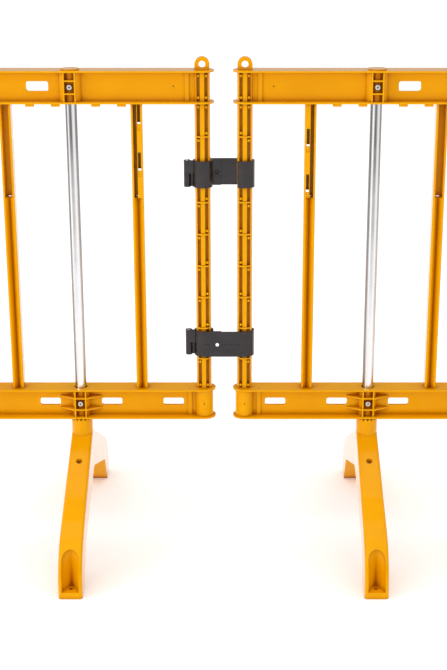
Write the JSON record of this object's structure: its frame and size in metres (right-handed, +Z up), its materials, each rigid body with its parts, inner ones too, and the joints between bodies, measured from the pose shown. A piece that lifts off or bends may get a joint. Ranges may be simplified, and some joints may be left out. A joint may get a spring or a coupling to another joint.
{
  "type": "crowd control barrier",
  "caption": "Linked pair of moulded yellow-orange plastic pedestrian barrier panels on turning arched feet, joined at their end posts by dark hinged clamp couplers.",
  "frame": {"origin": "on the floor under the middle of the link between the two panels' joined end posts", "axes": "+X along the panels, +Z up, -Y is the side seen in front"},
  "size_m": [4.0628, 0.682, 1.0983],
  "materials": {
    "yellow_plastic": "moulded, semi-gloss",
    "charcoal_plastic": "moulded, fine grain",
    "galvanised_steel": "galvanised, shiny",
    "zinc_steel": "zinc plated",
    "bright_steel": "bright plated"
  },
  "bodies": {
    "left_panel": {"left_bar_01": "yellow_plastic", "left_bar_02": "yellow_plastic", "left_bar_03": "yellow_plastic", "left_bar_04": "yellow_plastic", "left_bar_05": "yellow_plastic", "left_bar_06": "yellow_plastic", "left_bar_07": "yellow_plastic", "left_bar_08": "yellow_plastic", "left_bar_09": "yellow_plastic", "left_bar_10": "yellow_plastic", "left_bar_11": "yellow_plastic", "left_bottom_rail": "yellow_plastic", "left_foot_bolts": "zinc_steel", "left_foot_washers": "zinc_steel", "left_inner_post": "yellow_plastic", "left_inner_tube": "galvanised_steel", "left_outer_post": "yellow_plastic", "left_outer_tube": "galvanised_steel", "left_top_rail": "yellow_plastic", "left_tube_plugs": "zinc_steel", "left_tube_screws": "zinc_steel"},
    "coupler_link": {"lower_coupler_body": "charcoal_plastic", "lower_hinge_pin": "bright_steel", "lower_lock_stud": "bright_steel", "upper_coupler_body": "charcoal_plastic", "upper_hinge_pin": "bright_steel", "upper_lock_stud": "bright_steel"},
    "right_panel": {"right_bar_01": "yellow_plastic", "right_bar_02": "yellow_plastic", "right_bar_03": "yellow_plastic", "right_bar_04": "yellow_plastic", "right_bar_05": "yellow_plastic", "right_bar_06": "yellow_plastic", "right_bar_07": "yellow_plastic", "right_bar_08": "yellow_plastic", "right_bar_09": "yellow_plastic", "right_bar_10": "yellow_plastic", "right_bar_11": "yellow_plastic", "right_bottom_rail": "yellow_plastic", "right_foot_bolts": "zinc_steel", "right_foot_washers": "zinc_steel", "right_inner_post": "yellow_plastic", "right_inner_tube": "galvanised_steel", "right_outer_post": "yellow_plastic", "right_outer_tube": "galvanised_steel", "right_top_rail": "yellow_plastic", "right_tube_plugs": "zinc_steel", "right_tube_screws": "zinc_steel"},
    "lower_jaw": {"lower_coupler_jaw": "charcoal_plastic"},
    "upper_jaw": {"upper_coupler_jaw": "charcoal_plastic"},
    "left_outer_foot_body": {"left_outer_foot": "yellow_plastic"},
    "left_inner_foot_body": {"left_inner_foot": "yellow_plastic"},
    "right_inner_foot_body": {"right_inner_foot": "yellow_plastic"},
    "right_outer_foot_body": {"right_outer_foot": "yellow_plastic"}
  },
  "joints": [
    {"name": "link_swing", "type": "hinge", "parent": "left_panel", "child": "coupler_link", "pos_m": [-0.0455, 0, 0.6555], "axis": [0, 0, 1], "range_deg": [-30, 30]},
    {"name": "panel_swing", "type": "hinge", "parent": "coupler_link", "child": "right_panel", "pos_m": [0.0455, 0, 0.6555], "axis": [0, 0, 1], "range_deg": [-60, 60]},
    {"name": "lower_jaw_open", "type": "hinge", "parent": "coupler_link", "child": "lower_jaw", "pos_m": [-0.079, 0, 0.4635], "axis": [0, 0, 1], "range_deg": [0, 100]},
    {"name": "upper_jaw_open", "type": "hinge", "parent": "coupler_link", "child": "upper_jaw", "pos_m": [-0.079, 0, 0.848], "axis": [0, 0, -1], "range_deg": [0, 100]},
    {"name": "left_outer_foot_turn", "type": "hinge", "parent": "left_panel", "child": "left_outer_foot_body", "pos_m": [-1.7255, 0, 0.2325], "axis": [0, 0, 1], "range_deg": [-90, 90]},
    {"name": "left_inner_foot_turn", "type": "hinge", "parent": "left_panel", "child": "left_inner_foot_body", "pos_m": [-0.3255, 0, 0.2325], "axis": [0, 0, 1], "range_deg": [0, 90]},
    {"name": "right_inner_foot_turn", "type": "hinge", "parent": "right_panel", "child": "right_inner_foot_body", "pos_m": [0.3255, 0, 0.2325], "axis": [0, 0, 1], "range_deg": [-90, 0]},
    {"name": "right_outer_foot_turn", "type": "hinge", "parent": "right_panel", "child": "right_outer_foot_body", "pos_m": [1.7255, 0, 0.2325], "axis": [0, 0, 1], "range_deg": [-90, 90]}
  ]
}
